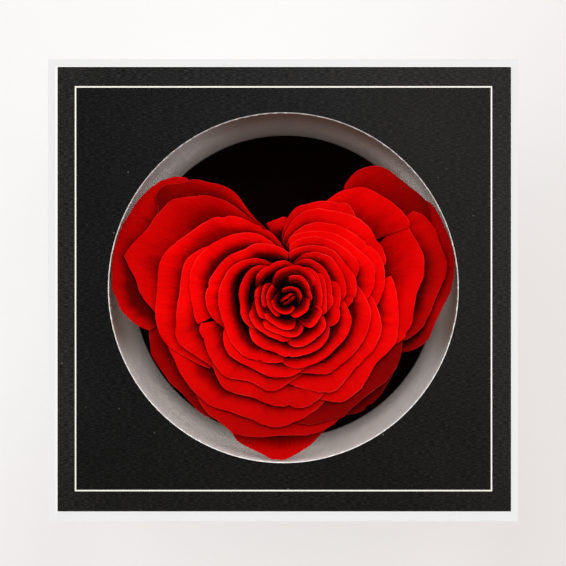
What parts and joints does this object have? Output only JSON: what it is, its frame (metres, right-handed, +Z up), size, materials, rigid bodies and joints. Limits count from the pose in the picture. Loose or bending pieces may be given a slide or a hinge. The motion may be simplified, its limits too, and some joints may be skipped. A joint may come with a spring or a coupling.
{
  "type": "rose gift box",
  "caption": "Square black and white gift box whose lid has a round window over a heart-shaped preserved red rose in a white tube.",
  "frame": {"origin": "centre of the bottom of the box", "axes": "+Z up through the window, +X across the box, +Y towards the cleft of the heart"},
  "size_m": [0.15, 0.1474, 0.098],
  "materials": {
    "white_paper": "smooth matte",
    "pale_board": "raw matte",
    "stay_paper": "gummed kraft paper",
    "lining_paper": "uncoated matte",
    "black_card": "linen embossed matte",
    "cream_foil": "satin foil",
    "platform_card": "uncoated matte",
    "tube_card": "uncoated matte",
    "foam": "open cell foam",
    "black_flock": "flocked",
    "stem_green": "dried plant",
    "sepal_green": "dried plant",
    "bud_red": "velvety petal",
    "inner_red": "velvety petal",
    "petal_red": "velvety petal",
    "outer_red": "velvety petal"
  },
  "bodies": {
    "base": {"base_wrap": "white_paper", "base_board": "pale_board", "base_corner_stays": "stay_paper", "base_liner": "lining_paper", "insert_platform": "platform_card", "tube": "tube_card", "tube_seam_tape": "stay_paper", "foam_block": "foam", "floor_disc": "black_flock", "stem": "stem_green", "receptacle": "stem_green", "calyx": "sepal_green", "bud_petals": "bud_red", "petal_row_11": "outer_red", "petal_row_12": "outer_red", "petal_row_1": "inner_red", "petal_row_2": "inner_red", "petal_row_3": "inner_red", "petal_row_4": "inner_red", "petal_row_5": "petal_red", "petal_row_6": "petal_red", "petal_row_7": "petal_red", "petal_row_8": "petal_red", "petal_row_9": "petal_red", "petal_row_10": "petal_red"},
    "lid": {"lid_wrap": "white_paper", "lid_board": "pale_board", "lid_corner_stays": "stay_paper", "lid_liner": "lining_paper", "face_card": "black_card", "keyline_foil": "cream_foil"}
  },
  "joints": [
    {"name": "lid_lift", "type": "slide", "parent": "base", "child": "lid", "axis": [0, 0, 1], "range_m": [0, 0.12]}
  ]
}
